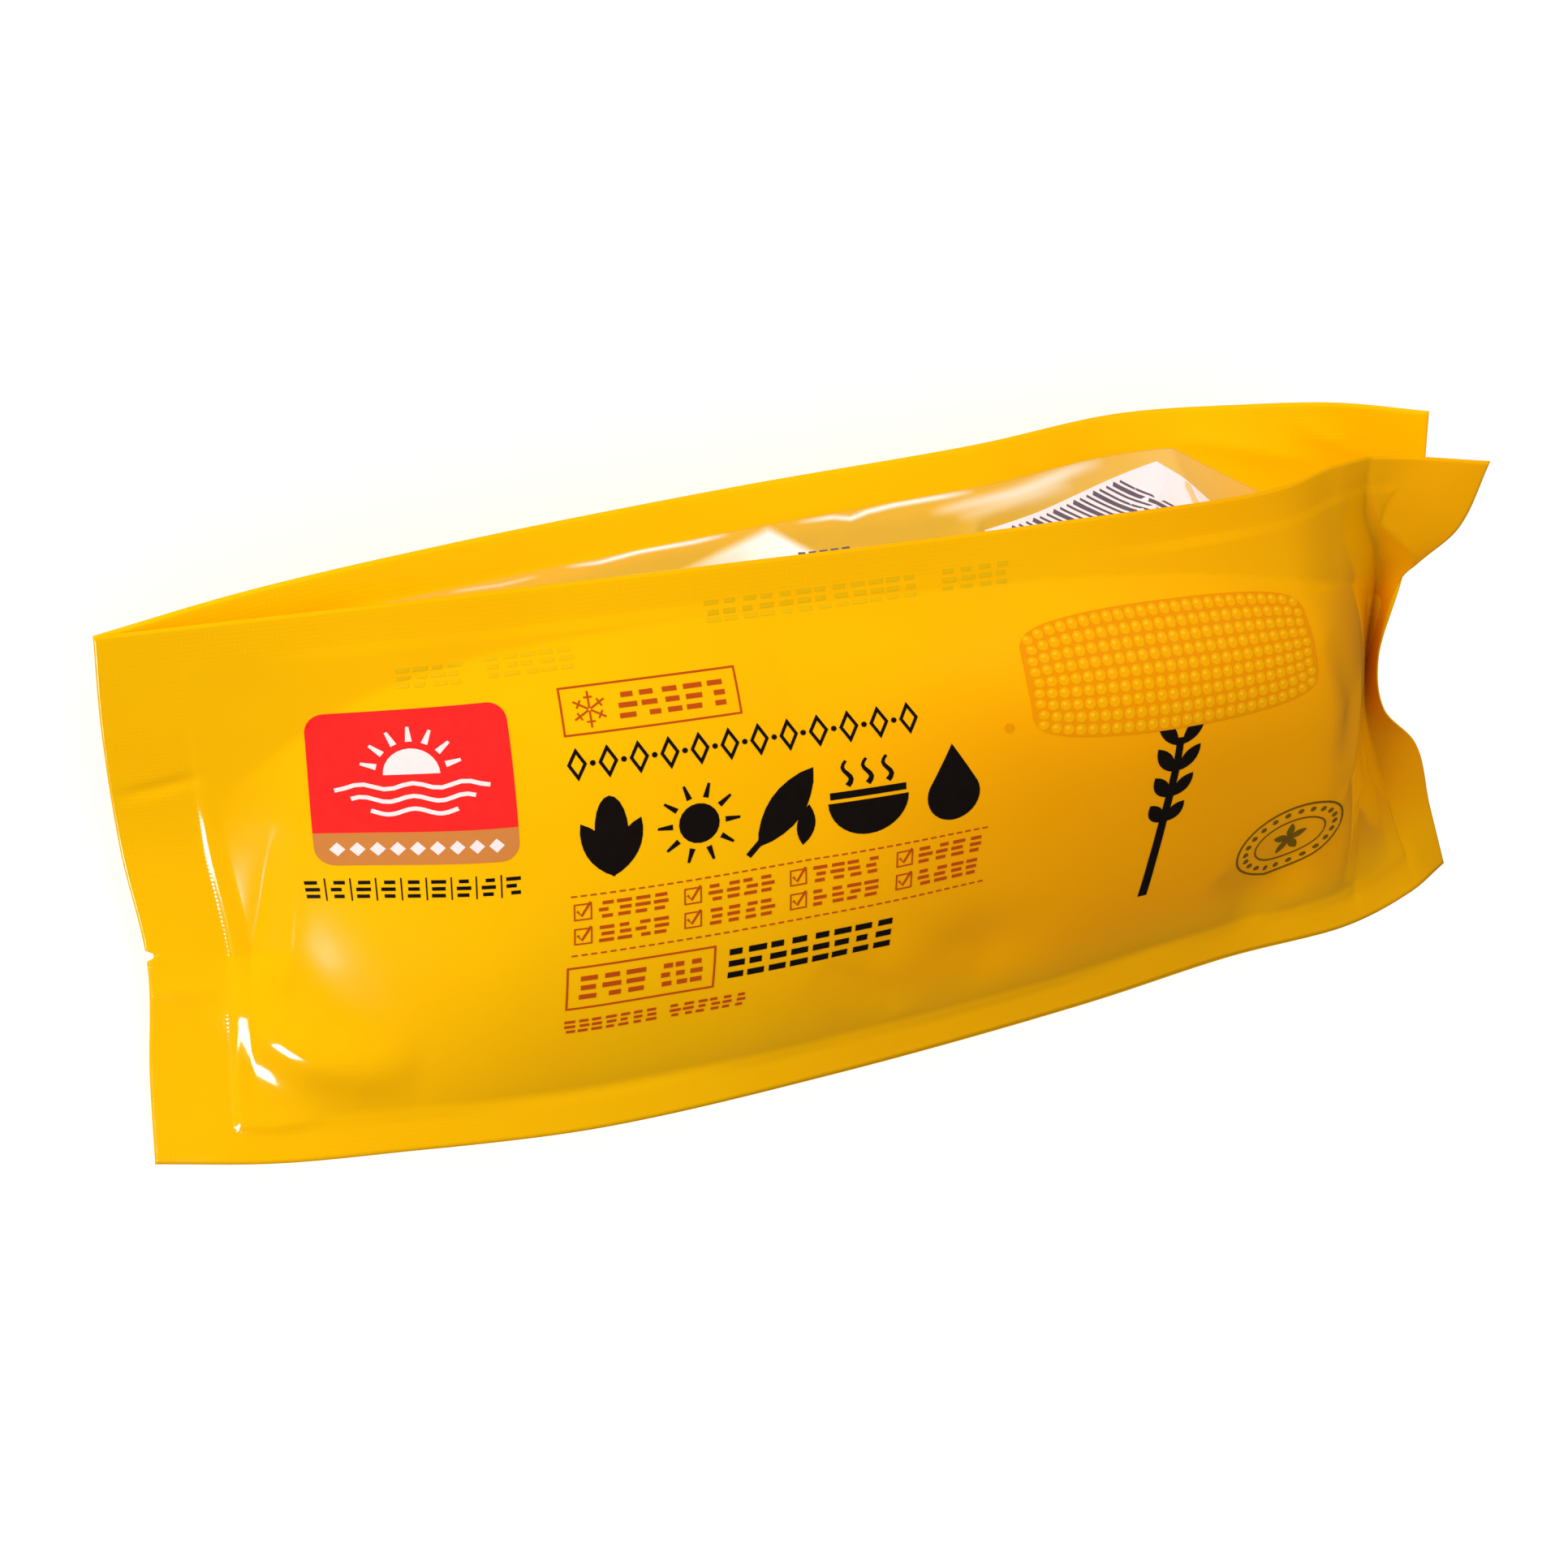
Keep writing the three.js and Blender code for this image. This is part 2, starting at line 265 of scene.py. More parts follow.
# Each fold is a line over the panel, its half width, its height (sunk where negative) and how
# round its crest is: 1 for a sharp crease, 2 for a soft one.
FRONT_FOLDS = [
    ([(50, -2), (276, -2)], 8, -1.5, 2),
    ([(0, 72), (8, 73.2), (17, 75)], 1.1, -0.4, 2),
    ([(0, 34), (6, 33.4), (13, 33)], 2.4, 0.5, 1),
    ([(26.5, 65), (22, 52), (18.5, 42), (17, 33)], 1.4, -0.35, 1),
    ([(30, 60), (26, 45), (22, 29)], 1.8, 0.3, 1),
    ([(17.5, 40), (19, 30), (23, 24.5), (28.5, 20.5), (36, 18), (46, 17)], 5.5, 2.4, 2),
    ([(15, 7), (21, 7.3), (30, 9)], 1.8, 0.35, 2),
    ([(20, 98), (34, 84), (44, 62)], 5.0, -0.3, 2),
    ([(116, 27), (123, 23), (130, 17), (133, 11)], 4.0, -0.8, 1),
    ([(128, 28), (140, 20), (149, 18)], 5.0, 0.6, 2),
    ([(200, 24), (208, 16), (214, 7)], 3.5, -0.9, 2),
    ([(208, 26), (215, 17), (222, 8)], 3.0, 0.7, 1),
    ([(243, 112), (248, 98), (256, 82), (262, 66)], 3.0, -1.5, 1),
    ([(244, 104), (258, 87), (276, 70)], 3.0, 1.2, 1),
    ([(239, 30), (240, 16), (238, 3)], 3.0, -1.1, 1),
    ([(229, 38), (232, 24), (233, 10)], 3.5, 0.8, 2),
    ([(248, 30), (258, 17), (262, 3)], 4.0, 0.9, 1),
    ([(224, 72), (231, 56), (227, 42)], 4.5, -1.0, 2),
    ([(238, 60), (232, 44), (225, 30)], 4.0, 0.9, 1),
]
BACK_FOLDS = [
    ([(50, -2), (276, -2)], 8, 1.5, 2),
    ([(216, 99), (230, 96), (246, 92)], 2.5, -0.9, 1),
    ([(240, 104), (247, 97), (262, 92)], 2.5, -0.6, 1),
    ([(0, 84), (20, 92), (50, 97)], 3.0, 0.5, 2),
]

# Broad unevenness of the sheet: (waves along, waves up, phase, height).
RIPPLES = [
    (2.3, 1.1, 0.4, 0.22), (5.1, -2.3, 1.9, 0.12), (8.7, 3.1, 4.0, 0.06), (1.2, 4.3, 2.2, 0.1),
]
# The back panel has them with its two directions swapped, and this much closer together up it.
BACK_RIPPLES = 1.7

# Painted shade: a deeper orange stands in for shade on the front panel. It comes in along the panel,
# is only a share at the foot, and near the top it loses a share that is smaller at the right.
PAINTED_SHADE_ALONG = (80, 170)
PAINTED_SHADE_FOOT = (8, 22)
PAINTED_SHADE_FOOT_SHARE = 0.45
PAINTED_SHADE_TOP = (66, 88)
PAINTED_SHADE_TOP_LOSS = 0.9
PAINTED_SHADE_TOP_KEPT = 0.4
PAINTED_SHADE_TOP_KEPT_ALONG = (160, 220)


def distance_to(line, x, y):
    """Distance of each place to the line, and how far along the line (0..1) it is nearest."""
    line = np.array(line, float)
    steps = np.linalg.norm(np.diff(line, axis=0), axis=1)
    start_of = np.concatenate([[0], np.cumsum(steps)])
    best, share = np.full(x.shape, np.inf), np.zeros(x.shape)
    for (ax, ay), (bx, by), step, start in zip(line, line[1:], steps, start_of):
        t = np.clip(((x - ax) * (bx - ax) + (y - ay) * (by - ay)) / step**2, 0, 1)
        away = np.hypot(x - ax - t * (bx - ax), y - ay - t * (by - ay))
        share = np.where(away < best, (start + t * step) / start_of[-1], share)
        best = np.minimum(best, away)
    return best, share


def folds_at(folds, x, y):
    height = np.zeros(x.shape)
    for line, half, rise, roundness in folds:
        away, share = distance_to(line, x, y)
        height += rise * np.exp(-((away / half) ** roundness)) * hill(share)
    return height


def ripples_at(x, y):
    height = np.zeros(x.shape)
    for along, up, phase, rise in RIPPLES:
        height += rise * np.sin(2 * math.pi * (along * x + up * y) / PANEL_LENGTH + phase)
    return height


def seal_mask(x, y):
    """1 on the welded bands, 0 on the free panel, with a short ramp between."""
    inside = np.minimum.reduce([
        x - LEFT_SEAL, PANEL_LENGTH - RIGHT_SEAL - x, y - BOTTOM_SEAL, PANEL_HEIGHT - LIP_SEAL - y,
    ])
    return 1 - smooth(inside / SEAL_RAMP + 0.5)


def front_relief(x, y):
    """How far the front panel stands off its base shape: pressed seals, folds and ripples."""
    seal = seal_mask(x, y)
    return folds_at(FRONT_FOLDS, x, y) + ripples_at(x, y) * (1 - seal) - SEAL_PRESS * seal


def back_relief(x, y):
    ripples = ripples_at(y * BACK_RIPPLES, x)
    return folds_at(BACK_FOLDS, x, y) + ripples * (1 - seal_mask(x, y))


def painted_shade_at(x, y):
    """How much painted shade there is: the yellow turns towards orange over the right half, between
    the flanges.
    """
    low = PAINTED_SHADE_FOOT_SHARE + (1 - PAINTED_SHADE_FOOT_SHARE) * ramp(y, *PAINTED_SHADE_FOOT)
    loss = PAINTED_SHADE_TOP_LOSS - PAINTED_SHADE_TOP_KEPT * ramp(x, *PAINTED_SHADE_TOP_KEPT_ALONG)
    high = 1 - loss * ramp(y, *PAINTED_SHADE_TOP)
    return ramp(x, *PAINTED_SHADE_ALONG) * low * high


def surface(base, relief, side, x, y, height):
    """Points at a height over a panel's face; side is 1 for the front panel and -1 for the back."""
    step = NORMAL_STEP
    x, y = np.broadcast_arrays(np.asarray(x, float), np.asarray(y, float))
    point = base(x, y)
    along = base(np.minimum(x + step, PANEL_LENGTH), y) - base(np.maximum(x - step, 0), y)
    up = base(x, np.minimum(y + step, PANEL_HEIGHT)) - base(x, np.maximum(y - step, 0))
    normal = np.cross(along, up)
    normal *= side / np.linalg.norm(normal, axis=-1, keepdims=True)
    return point + normal * (relief(x, y) + height)[..., None]


def front_surface(x, y, height=0.0):
    return surface(front_base, front_relief, 1, x, y, np.asarray(height, float) + LAMINATE)


def back_surface(x, y, height=0.0):
    """Points at a height over the back panel's outer face, which is flat where the pouch rests."""
    point = surface(back_base, back_relief, -1, x, y, np.asarray(height, float) + LAMINATE)
    point[..., 2] = np.maximum(point[..., 2], -np.asarray(height, float))
    return point


# --- meshes ---


def make_object(name, points, faces, material, smooth_faces=True):
    """A mesh piece from points in millimetres, riding on the pouch's one body."""
    mesh = bpy.data.meshes.new(name)
    mesh.from_pydata((np.asarray(points) * MM).tolist(), [], faces)
    mesh.polygons.foreach_set("use_smooth", [smooth_faces] * len(mesh.polygons))
    mesh.materials.append(material)
    piece = bpy.data.objects.new(name, mesh)
    bpy.context.scene.collection.objects.link(piece)
    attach(piece, "root")
    return piece


def add_attribute(piece, name, values):
    attribute = piece.data.attributes.new(name, "FLOAT", "POINT")
    attribute.data.foreach_set("value", np.asarray(values, np.float32).ravel())


def add_place(piece, x, y):
    """Stores each point's place on the flat laminate, for the materials."""
    attribute = piece.data.attributes.new("place", "FLOAT_VECTOR", "POINT")
    values = np.stack([x.ravel(), y.ravel(), np.zeros(x.size)], -1)
    attribute.data.foreach_set("vector", values.astype(np.float32).ravel())


def closed_sheet(columns, rows):
    """Faces of a thin closed sheet: a grid, its twin behind it, and the rim between them."""
    index = np.arange(columns * rows).reshape(columns, rows)
    corners = [index[:-1, :-1], index[1:, :-1], index[1:, 1:], index[:-1, 1:]]
    near = np.stack(corners, -1).reshape(-1, 4)
    far = near[:, ::-1] + columns * rows
    rim = np.concatenate([index[:, 0], index[-1, 1:], index[-2::-1, -1], index[0, -2:0:-1]])
    after = np.roll(rim, -1)
    side = np.stack([after, rim, rim + columns * rows, after + columns * rows], -1)
    return np.vstack([near, far, side])


def notched(x, y):
    """Moves the end's edge inwards at the tear notch."""
    cut = NOTCH["depth"] * np.maximum(0, 1 - np.abs(y - NOTCH["y"]) / NOTCH["half"])
    return x + cut * np.maximum(0, 1 - x / NOTCH["reach"])


def panel_piece(name, place, columns, rows, facing, material):
    """A laminate panel: its outer face, its inner face and the rim."""
    x, y = np.meshgrid(spread(columns), spread(rows), indexing="ij")
    x = notched(x, y)
    outer, inner = place(x, y), place(x, y, -LAMINATE)
    faces = closed_sheet(*x.shape)
    if facing < 0:
        faces = faces[:, ::-1]
    points = np.vstack([outer.reshape(-1, 3), inner.reshape(-1, 3)])
    piece = make_object(name, points, faces.tolist(), material)
    both_x, both_y = np.stack([x, x]), np.stack([y, y])
    add_place(piece, both_x, both_y)
    add_attribute(piece, "seal", seal_mask(both_x, both_y))
    # Only the front panel gets the painted shade, a deeper orange.
    add_attribute(piece, "painted_shade", painted_shade_at(both_x, both_y) * (facing > 0))
    return piece


# --- materials ---


def srgb(red, green, blue):
    """Linear colour of an sRGB colour given in 0..255."""
    shares = [value / 255 for value in (red, green, blue)]
    return [s / 12.92 if s <= 0.04045 else ((s + 0.055) / 1.055) ** 2.4 for s in shares] + [1]


class Nodes:
    """Short names for the node calls that every material here makes."""

    def __init__(self, name):
        self.material = bpy.data.materials.new(name)
        self.material.use_nodes = True
        self.tree = self.material.node_tree
        self.shader = self.tree.nodes["Principled BSDF"]

    def add(self, kind, **settings):
        node = self.tree.nodes.new(kind)
        for key, value in settings.items():
            setattr(node, key, value)
        return node

    def link(self, source, target):
        self.tree.links.new(source, target)

    def noise(self, scale, detail=3.0):
        """Noise over the row frame; scale is in features per metre."""
        coordinates = self.add("ShaderNodeTexCoord")
        noise = self.add("ShaderNodeTexNoise")
        noise.inputs["Scale"].default_value = scale
        noise.inputs["Detail"].default_value = detail
        self.link(coordinates.outputs["Object"], noise.inputs["Vector"])
        return noise.outputs["Fac"]

    def math(self, operation, first, second=None):
        node = self.add("ShaderNodeMath", operation=operation)
        for socket, value in zip(node.inputs, (first, second)):
            if isinstance(value, (int, float)):
                socket.default_value = value
            elif value is not None:
                self.link(value, socket)
        return node.outputs[0]

    def ranged(self, value, low, high, from_low=0.0, from_high=1.0):
        node = self.add("ShaderNodeMapRange")
        self.link(value, node.inputs["Value"])
        limits = {"From Min": from_low, "From Max": from_high, "To Min": low, "To Max": high}
        for key, number in limits.items():
            node.inputs[key].default_value = number
        return node.outputs["Result"]

    def blend(self, factor, first, second):
        """Colour between two colours."""
        node = self.add("ShaderNodeMix", data_type="RGBA")
        self.link(factor, node.inputs["Factor"])
        for socket, value in ((node.inputs[6], first), (node.inputs[7], second)):
            if isinstance(value, (list, tuple)):
                socket.default_value = value
            else:
                self.link(value, socket)
        return node.outputs[2]

    def bump(self, height, distance):
        """Fine relief; distance is its height in metres."""
        node = self.add("ShaderNodeBump")
        node.inputs["Distance"].default_value = distance
        node.inputs["Strength"].default_value = 1
        self.link(height, node.inputs["Height"])
        self.link(node.outputs["Normal"], self.shader.inputs["Normal"])

    def attribute(self, name):
        return self.add("ShaderNodeAttribute", attribute_name=name)

    def put(self, **values):
        """Sets sockets of the shader that are the same all over."""
        for key, value in values.items():
            self.shader.inputs[key.replace("_", " ")].default_value = value


# Pitch and height of the embossed grid, share of the laminate's grain in it, and the film's grain.
GRID_PITCH = 0.8
GRID_HEIGHT = 0.01
GRAIN_SHARE = 0.15
FILM_GRAIN = 0.1


def embossed_grid(nodes):
    """Height of the fine grid that the sealing bars press into the welded bands."""
    place = nodes.attribute("place")
    parts = nodes.add("ShaderNodeSeparateXYZ")
    nodes.link(place.outputs["Vector"], parts.inputs["Vector"])
    turns = 2 * math.pi / GRID_PITCH
    angles = [nodes.math("MULTIPLY", parts.outputs[axis], turns) for axis in "XY"]
    grid = nodes.math("MAXIMUM", *(nodes.math("SINE", angle) for angle in angles))
    return nodes.math("MULTIPLY", grid, nodes.attribute("seal").outputs["Fac"])


def laminate_material():
    """Glossy printed laminate, a strong warm yellow all over, with painted shade as a deeper orange.
    """
    nodes = Nodes("yellow_laminate")
    uneven = nodes.ranged(nodes.noise(28), 0, 1, 0.35, 0.65)
    yellow = nodes.blend(uneven, srgb(250, 182, 0), srgb(252, 186, 0))
    # Painted shade: the deeper orange comes in where the front panel is shaded.
    colour = nodes.blend(nodes.attribute("painted_shade").outputs["Fac"], yellow, srgb(249, 164, 0))
    nodes.link(colour, nodes.shader.inputs["Base Color"])
    nodes.link(nodes.ranged(nodes.noise(70), 0.07, 0.12), nodes.shader.inputs["Roughness"])
    grain = nodes.math("MULTIPLY", nodes.noise(900, 2.0), GRAIN_SHARE)
    nodes.bump(nodes.math("ADD", grain, embossed_grid(nodes)), GRID_HEIGHT * MM)
    nodes.put(Specular_IOR_Level=0.4)
    return nodes.material


def ink_material(name, colour, spread_to):
    """Printed ink under the laminate's gloss, mottled between two colours."""
    nodes = Nodes(name)
    nodes.link(nodes.blend(nodes.noise(400), colour, spread_to), nodes.shader.inputs["Base Color"])
    nodes.link(nodes.ranged(nodes.noise(120), 0.07, 0.12), nodes.shader.inputs["Roughness"])
    nodes.put(Specular_IOR_Level=0.4)
    return nodes.material


def film_material():
    """Clear film with a pale haze, and painted highlights that turn it near-white and nearly opaque
    on its facet, streaks and creases.
    """
    nodes = Nodes("clear_film")
    haze_and_highlight = nodes.attribute("haze_and_highlight").outputs["Fac"]
    cloud = nodes.ranged(nodes.noise(45), -0.1, 0.1)
    thick = nodes.math("ADD", haze_and_highlight, cloud)
    share = nodes.ranged(thick, 0, 1, 0.1, 0.9)
    # Yellow where the film is clear, near-white and nearly opaque where highlights are painted in.
    colour = nodes.blend(share, srgb(255, 206, 70), srgb(252, 246, 232))
    nodes.link(colour, nodes.shader.inputs["Base Color"])
    nodes.link(nodes.ranged(thick, 0.42, 0.98), nodes.shader.inputs["Alpha"])
    nodes.link(nodes.ranged(nodes.noise(160), 0.1, 0.2), nodes.shader.inputs["Roughness"])
    nodes.bump(nodes.noise(260), FILM_GRAIN * MM)
    nodes.put(IOR=1.5)
    return nodes.material


def kernel_material():
    nodes = Nodes("corn_kernels")
    share = nodes.ranged(nodes.noise(120), 0, 1, 0.35, 0.65)
    colour = nodes.blend(share, srgb(240, 196, 92), srgb(250, 222, 150))
    nodes.link(colour, nodes.shader.inputs["Base Color"])
    nodes.link(nodes.ranged(nodes.noise(300), 0.3, 0.5), nodes.shader.inputs["Roughness"])
    nodes.put(Subsurface_Weight=0.1, Subsurface_Radius=(0.004, 0.002, 0.001))
    return nodes.material


def floor_material():
    nodes = Nodes("studio_floor")
    colour = nodes.blend(nodes.noise(3), (0.9, 0.9, 0.9, 1), (0.92, 0.92, 0.92, 1))
    nodes.link(colour, nodes.shader.inputs["Base Color"])
    nodes.put(Roughness=0.7, Specular_IOR_Level=0.2)
    return nodes.material


# --- clear film gusset ---

# Stretch of the film along the pouch, its mesh density, and its thickness.
FILM_FROM = 19
FILM_TO = 251
FILM_COLUMNS = 300
FILM_ROWS = [(0, 0.3, 0.0055), (0.3, 1, 0.03)]
FILM_SKIN = 0.12
# Creases, haze with painted highlights, and print are laid out as if the film were this wide all
# along, from its back weld.
# Its welds are really 4 to 39 mm apart.
FILM_WIDTH = 45
# The film's normal is read this far to each side: millimetres along, share across.
FILM_STEP_ALONG = 0.5
FILM_STEP_ACROSS = 0.02

# Creases of the film, as on the panels: line, half width, height and roundness.
FILM_CREASES = [
    ([(60, 5), (100, 8), (118, 6)], 3.0, 0.7, 2),
    ([(126, 0), (130, 9), (138, 30)], 2.0, 1.2, 1),
    ([(126, 0), (112, 8), (92, 20)], 3.0, 0.9, 1),
    ([(150, 30), (168, 6), (186, 3), (202, 0.5)], 2.5, 1.3, 1),
    ([(186, 30), (205, 12), (216, 1)], 3.0, 1.0, 2),
]
# Lines and a facet of painted highlight, where the film is paler and less clear: (line, half width,
# highlight), and the facet's corners.
FILM_HIGHLIGHT_STREAKS = [
    ([(84, 0.6), (91, 1.2), (99, 0.5), (110, 0.7), (118, 0.4)], 0.5, 0.9),
    ([(131, 0.6), (139, 0.8), (142.5, 1.6), (146, 0.9), (152, 0.5), (170, 0.6)], 0.45, 0.9),
    ([(158, 3.2), (167, 2.6), (178, 2.2), (189, 1.3), (201, 0.4)], 1.0, 0.5),
    ([(163, 5.0), (176, 3.8), (192, 2.8)], 1.2, 0.3),
    ([(62, 1.2), (72, 2.2), (80, 1.6)], 0.6, 0.4),
]
FILM_HIGHLIGHT_FACET = [(128.5, -0.8), (114, 3.4), (99, 8.6), (92, 15), (142, 15), (135.5, 9)]
# The painted highlight facet: width of its soft edge, share of it on the outline, and where it fades
# in.
FACET_EDGE = 2.5
FACET_EDGE_SHARE = 0.2
FACET_FADE = (94, 128)
# Haze all over and along a stretch to the right, and painted highlight on the facet and per
# millimetre of crease.
HAZE_AND_HIGHLIGHT = {"all": 0.05, "right": 0.12, "facet": 0.9, "crease": 0.1}
HAZE_RIGHT = (150, 210)
# How flat a painted highlight streak is along it.
STREAK_POWER = 4


def film_base(x, across):
    """The film's run from its weld on the back panel (0) to that on the front panel (1)."""
    y = weld_y(x)
    start, end = back_surface(x, y, -LAMINATE), front_surface(x, y, -LAMINATE)
    width = np.linalg.norm(end - start, axis=-1)
    point = start + (end - start) * across[..., None]
    point[..., 1] -= np.minimum(FILM_SAG, MOST_SAG * width) * hill(across)
    return point


def film_relief(x, across):
    """Height of the film's creases, which end at its welds."""
    free = np.sqrt(np.maximum(hill(across), 0))
    return folds_at(FILM_CREASES, x, across * FILM_WIDTH) * free


def inside_of(corners, x, y):
    """Distance inwards from the nearest side of a convex outline, negative outside it."""
    depth = np.full(x.shape, np.inf)
    for (ax, ay), (bx, by) in zip(corners, corners[1:] + corners[:1]):
        side = ((by - ay) * (x - ax) - (bx - ax) * (y - ay)) / math.hypot(bx - ax, by - ay)
        depth = np.minimum(depth, side)
    return depth


def film_haze_and_highlight(x, across):
    """How milky the film is, from 0 for clear to 1: a little haze, and painted highlights on the
    facet, streaks and creases.
    """
    y = across * FILM_WIDTH
    facet = smooth(inside_of(FILM_HIGHLIGHT_FACET, x, y) / FACET_EDGE + FACET_EDGE_SHARE)
    facet = facet * ramp(x, *FACET_FADE)
    haze_and_highlight = HAZE_AND_HIGHLIGHT["all"] + HAZE_AND_HIGHLIGHT["right"] * ramp(x, *HAZE_RIGHT) + HAZE_AND_HIGHLIGHT["facet"] * facet
    haze_and_highlight = haze_and_highlight + HAZE_AND_HIGHLIGHT["crease"] * np.abs(film_relief(x, across))
    for line, half, rise in FILM_HIGHLIGHT_STREAKS:
        away, share = distance_to(line, x, y)
        haze_and_highlight += rise * np.exp(-((away / half) ** 2)) * hill(share, STREAK_POWER)
    return np.clip(haze_and_highlight, 0, 1)


def film_surface(x, across, height=0.0):
    x, across = np.broadcast_arrays(np.asarray(x, float), np.asarray(across, float))
    point = film_base(x, across)
    along = film_base(x + FILM_STEP_ALONG, across) - film_base(x - FILM_STEP_ALONG, across)
    ahead = np.minimum(across + FILM_STEP_ACROSS, 1)
    behind = np.maximum(across - FILM_STEP_ACROSS, 0)
    over = film_base(x, ahead) - film_base(x, behind)
    normal = np.cross(over, along)
    normal /= np.maximum(np.linalg.norm(normal, axis=-1, keepdims=True), 1e-9)
    return point + normal * (film_relief(x, across) + height)[..., None]


def gusset_film(material):
    columns = np.linspace(FILM_FROM, FILM_TO, FILM_COLUMNS)
    x, across = np.meshgrid(columns, spread(FILM_ROWS), indexing="ij")
    top, under = film_surface(x, across, FILM_SKIN), film_surface(x, across, 0.0)
    points = np.vstack([top.reshape(-1, 3), under.reshape(-1, 3)])
    faces = closed_sheet(*x.shape)[:, ::-1]
    piece = make_object("gusset_film", points, faces.tolist(), material)
    # The film's haze, with its painted highlights, for the material.
    haze_and_highlight = film_haze_and_highlight(x, across)
    add_attribute(piece, "haze_and_highlight", np.stack([haze_and_highlight, haze_and_highlight]))
    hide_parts("clear_film")
    return piece


# --- the cob inside ---

# The radius is core plus bulge at the middle of a kernel; taper thins the left end, and a higher
# end_power keeps the thickness further out.
COB = {
    "length": 172, "radius": 20, "centre": (8, 2, 22.6), "rows": 16, "kernels": 44,
    "taper": 0.2, "end_power": 6, "core": 0.93, "bulge": 0.07,
}
COB_STEPS = 6


def corn_cob(material):
    """A cob of kernels in straight rows, its ends rounded."""
    around, along = COB["rows"] * COB_STEPS * 2, COB["kernels"] * COB_STEPS
    turns, shares = np.linspace(0, 1, around, endpoint=False), np.linspace(0, 1, along + 1)
    turn, share = np.meshgrid(turns, shares)
    rows = np.abs(np.sin(math.pi * COB["rows"] * turn))
    rings = np.abs(np.sin(math.pi * COB["kernels"] * share))
    kernel = np.sqrt(rows * rings)
    ends = np.sqrt(np.clip(1 - np.abs(2 * share - 1) ** COB["end_power"], 0, 1))
    taper = 1 - COB["taper"] * (1 - share) ** 2
    radius = COB["radius"] * taper * ends * (COB["core"] + COB["bulge"] * kernel)
    cx, cy, cz = COB["centre"]
    points = np.stack([
        cx + COB["length"] * (share - 0.5),
        cy + radius * np.cos(2 * math.pi * turn),
        cz + radius * np.sin(2 * math.pi * turn),
    ], -1).reshape(-1, 3)
    index = np.arange((along + 1) * around).reshape(along + 1, around)
    after = np.roll(index, -1, axis=1)
    # The first and last ring have no radius, so flat caps close the rings next to them.
    faces = np.stack([index[1:-2], index[2:-1], after[2:-1], after[1:-2]], -1)
    faces = faces.reshape(-1, 4).tolist() + [index[1][::-1].tolist(), index[-2].tolist()]
    piece = make_object("corn_cob", points, faces, material)
    bm = bmesh.new()
    bm.from_mesh(piece.data)
    bmesh.ops.delete(bm, geom=[v for v in bm.verts if not v.link_faces], context="VERTS")
    bmesh.ops.recalc_face_normals(bm, faces=bm.faces)
    bm.to_mesh(piece.data)
    bm.free()
    return piece


# --- print: shapes on the flat laminate ---
#
# A shape is a list of outlines, each a list of (x, y) places in mm. All motifs are generic.


def box(x, y, width, height):
    return [[(x, y), (x + width, y), (x + width, y + height), (x, y + height)]]


def arc(cx, cy, rx, ry, start, end, steps):
    """Points on an ellipse from one angle to another, in degrees."""
    angles = np.radians(np.linspace(start, end, steps + 1))
    return [(cx + rx * math.cos(a), cy + ry * math.sin(a)) for a in angles]


def oval(cx, cy, rx, ry, sides=20):
    return [arc(cx, cy, rx, ry, 0, 360, sides)[:-1]]


def ring(cx, cy, rx, ry, width, sides=36):
    """Oval band, as one small outline per side."""
    inner = arc(cx, cy, rx - width, ry - width, 0, 360, sides)
    outer = arc(cx, cy, rx, ry, 0, 360, sides)
    return [[inner[i], outer[i], outer[i + 1], inner[i + 1]] for i in range(sides)]


def stroke(points, width, tip=1.0):
    """Band along a line; tip is its width at the far end, as a share of its width at the start."""
    line = np.array(points, float)
    ahead = np.gradient(line, axis=0)
    across = np.stack([-ahead[:, 1], ahead[:, 0]], -1)
    across /= np.linalg.norm(across, axis=1, keepdims=True)
    half = width / 2 * np.linspace(1, tip, len(line))[:, None]
    left, right = line + across * half, line - across * half
    return [[tuple(p) for p in np.vstack([right, left[::-1]])]]


def outline_box(x, y, width, height, line):
    """Rectangle drawn as a line."""
    inner = height - 2 * line
    return (box(x, y, width, line) + box(x, y + height - line, width, line)
            + box(x, y + line, line, inner) + box(x + width - line, y + line, line, inner))


def rounded_box(x, y, width, height, top, foot):
    """Rectangle with rounded upper and lower corners; a radius of 0 leaves them square."""
    points = []
    right, upper = x + width, y + height
    corners = ((right, upper, top, 0), (x, upper, top, 90), (x, y, foot, 180), (right, y, foot, 270))
    for corner_x, corner_y, radius, start in corners:
        cx = corner_x + (-radius if corner_x > x else radius)
        cy = corner_y + (-radius if corner_y > y else radius)
        points += arc(cx, cy, radius, radius, start, start + 90, 6 if radius else 0)
    return [points]


def leaf(x, y, length, width, angle, steps=8):
    """Pointed leaf that starts at (x, y) and grows at the angle."""
    shares = np.linspace(0, 1, steps + 1)
    half = width / 2 * np.sin(math.pi * shares) ** 0.8
    upper = list(zip(length * shares, half))
    lower = list(zip(length * shares[-2:0:-1], -half[-2:0:-1]))
    return turned([lower[::-1] + upper[::-1]], angle, x, y)


def turned(shape, angle, x, y):
    """The shape turned by an angle in degrees about the origin, then moved to (x, y)."""
    c, s = math.cos(math.radians(angle)), math.sin(math.radians(angle))
    return [[(x + c * px - s * py, y + s * px + c * py) for px, py in outline]
            for outline in shape]


